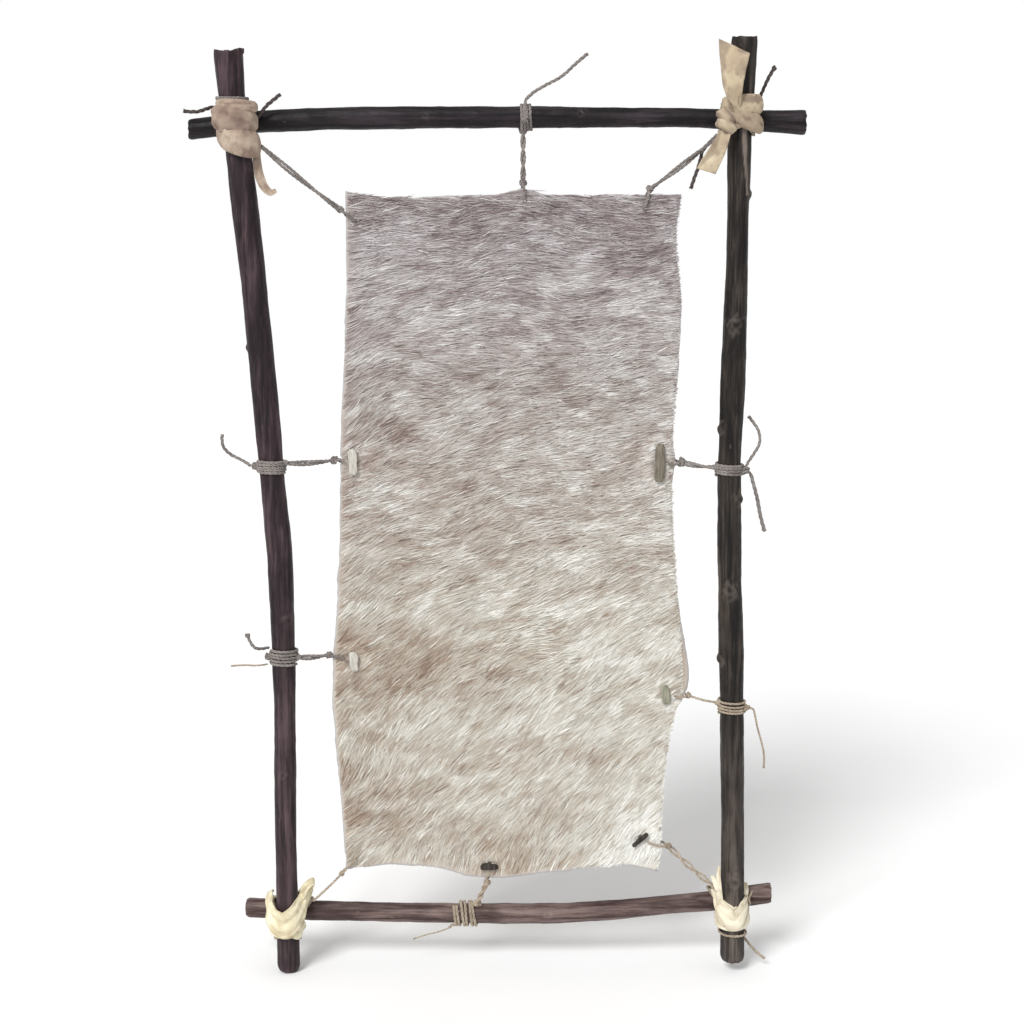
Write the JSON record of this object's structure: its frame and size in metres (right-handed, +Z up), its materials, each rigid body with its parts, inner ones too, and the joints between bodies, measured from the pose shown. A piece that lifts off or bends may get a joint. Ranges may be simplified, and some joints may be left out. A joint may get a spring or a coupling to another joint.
{
  "type": "hide stretching frame",
  "caption": "Hair-on hide laced with twine and toggles into an upright frame of bark-covered sticks, its corners lashed with cloth strips.",
  "frame": {"origin": "underside of the top rail at its middle, where a wall hook carries the frame", "axes": "+Z up along the uprights, +Y from the hair side to the back, +X to the right seen from the front"},
  "size_m": [0.5993, 0.069, 0.936],
  "materials": {
    "bark": "dark reddish-brown bark, satin",
    "cut_wood": "weathered cut end grain",
    "twine": "rough greyed jute",
    "cloth_strip": "soft brushed cotton or chamois",
    "hide": "suede flesh side",
    "hair": "smooth lying cattle hair, cream and tan",
    "toggle_wood": "weathered split wood"
  },
  "bodies": {
    "frame": {"left_upright": "bark", "right_upright": "bark", "top_rail": "bark", "bottom_rail": "bark", "strap_top_left": "cloth_strip", "lashing_top_left": "twine", "strap_top_right": "cloth_strip", "lashing_top_right": "twine", "strap_bottom_left": "cloth_strip", "lashing_bottom_left": "twine", "strap_bottom_right": "cloth_strip", "lashing_bottom_right": "twine", "hide": "hide", "tie_top_left": "twine", "tie_top_centre": "twine", "tie_top_right": "twine", "tie_left_upper": "twine", "tie_left_lower": "twine", "tie_right_upper": "twine", "tie_right_lower": "twine", "tie_bottom_left": "twine", "tie_bottom_centre": "twine", "tie_bottom_right": "twine", "tail_top_left_side": "twine", "tail_top_left_up": "twine", "tail_top_right_up": "twine", "tail_top_right_down": "twine", "tail_top_centre": "twine", "tail_left_upper": "twine", "tail_left_lower_knotted": "twine", "tail_left_lower_frayed": "twine", "tail_right_upper_curl": "twine", "tail_right_upper_hanging": "twine", "tail_right_lower": "twine", "tail_bottom_centre": "twine", "tail_bottom_right": "twine"},
    "toggle_left_upper": {"toggle_left_upper": "toggle_wood", "toggle_loop_left_upper": "twine"},
    "toggle_left_lower": {"toggle_left_lower": "toggle_wood", "toggle_loop_left_lower": "twine"},
    "toggle_right_upper": {"toggle_right_upper": "toggle_wood", "toggle_loop_right_upper": "twine"},
    "toggle_right_lower": {"toggle_right_lower": "toggle_wood", "toggle_loop_right_lower": "twine"},
    "toggle_bottom_centre": {"toggle_bottom_centre": "toggle_wood", "toggle_loop_bottom_centre": "twine"},
    "toggle_bottom_right": {"toggle_bottom_right": "toggle_wood", "toggle_loop_bottom_right": "twine"}
  },
  "joints": [
    {"name": "left_upper_toggle_turn", "type": "hinge", "parent": "frame", "child": "toggle_left_upper", "pos_m": [-0.134, -0.012, -0.324], "axis": [0, 1, 0], "range_deg": [-25, 25]},
    {"name": "left_lower_toggle_turn", "type": "hinge", "parent": "frame", "child": "toggle_left_lower", "pos_m": [-0.136, -0.012, -0.527], "axis": [0, 1, 0], "range_deg": [-25, 25]},
    {"name": "right_upper_toggle_turn", "type": "hinge", "parent": "frame", "child": "toggle_right_upper", "pos_m": [0.169, -0.012, -0.325], "axis": [0, 1, 0], "range_deg": [-25, 25]},
    {"name": "right_lower_toggle_turn", "type": "hinge", "parent": "frame", "child": "toggle_right_lower", "pos_m": [0.178, -0.012, -0.561], "axis": [0, 1, 0], "range_deg": [-25, 25]},
    {"name": "bottom_centre_toggle_turn", "type": "hinge", "parent": "frame", "child": "toggle_bottom_centre", "pos_m": [0, -0.012, -0.743], "axis": [0, 1, 0], "range_deg": [-25, 25]},
    {"name": "bottom_right_toggle_turn", "type": "hinge", "parent": "frame", "child": "toggle_bottom_right", "pos_m": [0.154, -0.012, -0.714], "axis": [0, 1, 0], "range_deg": [-25, 25]}
  ]
}
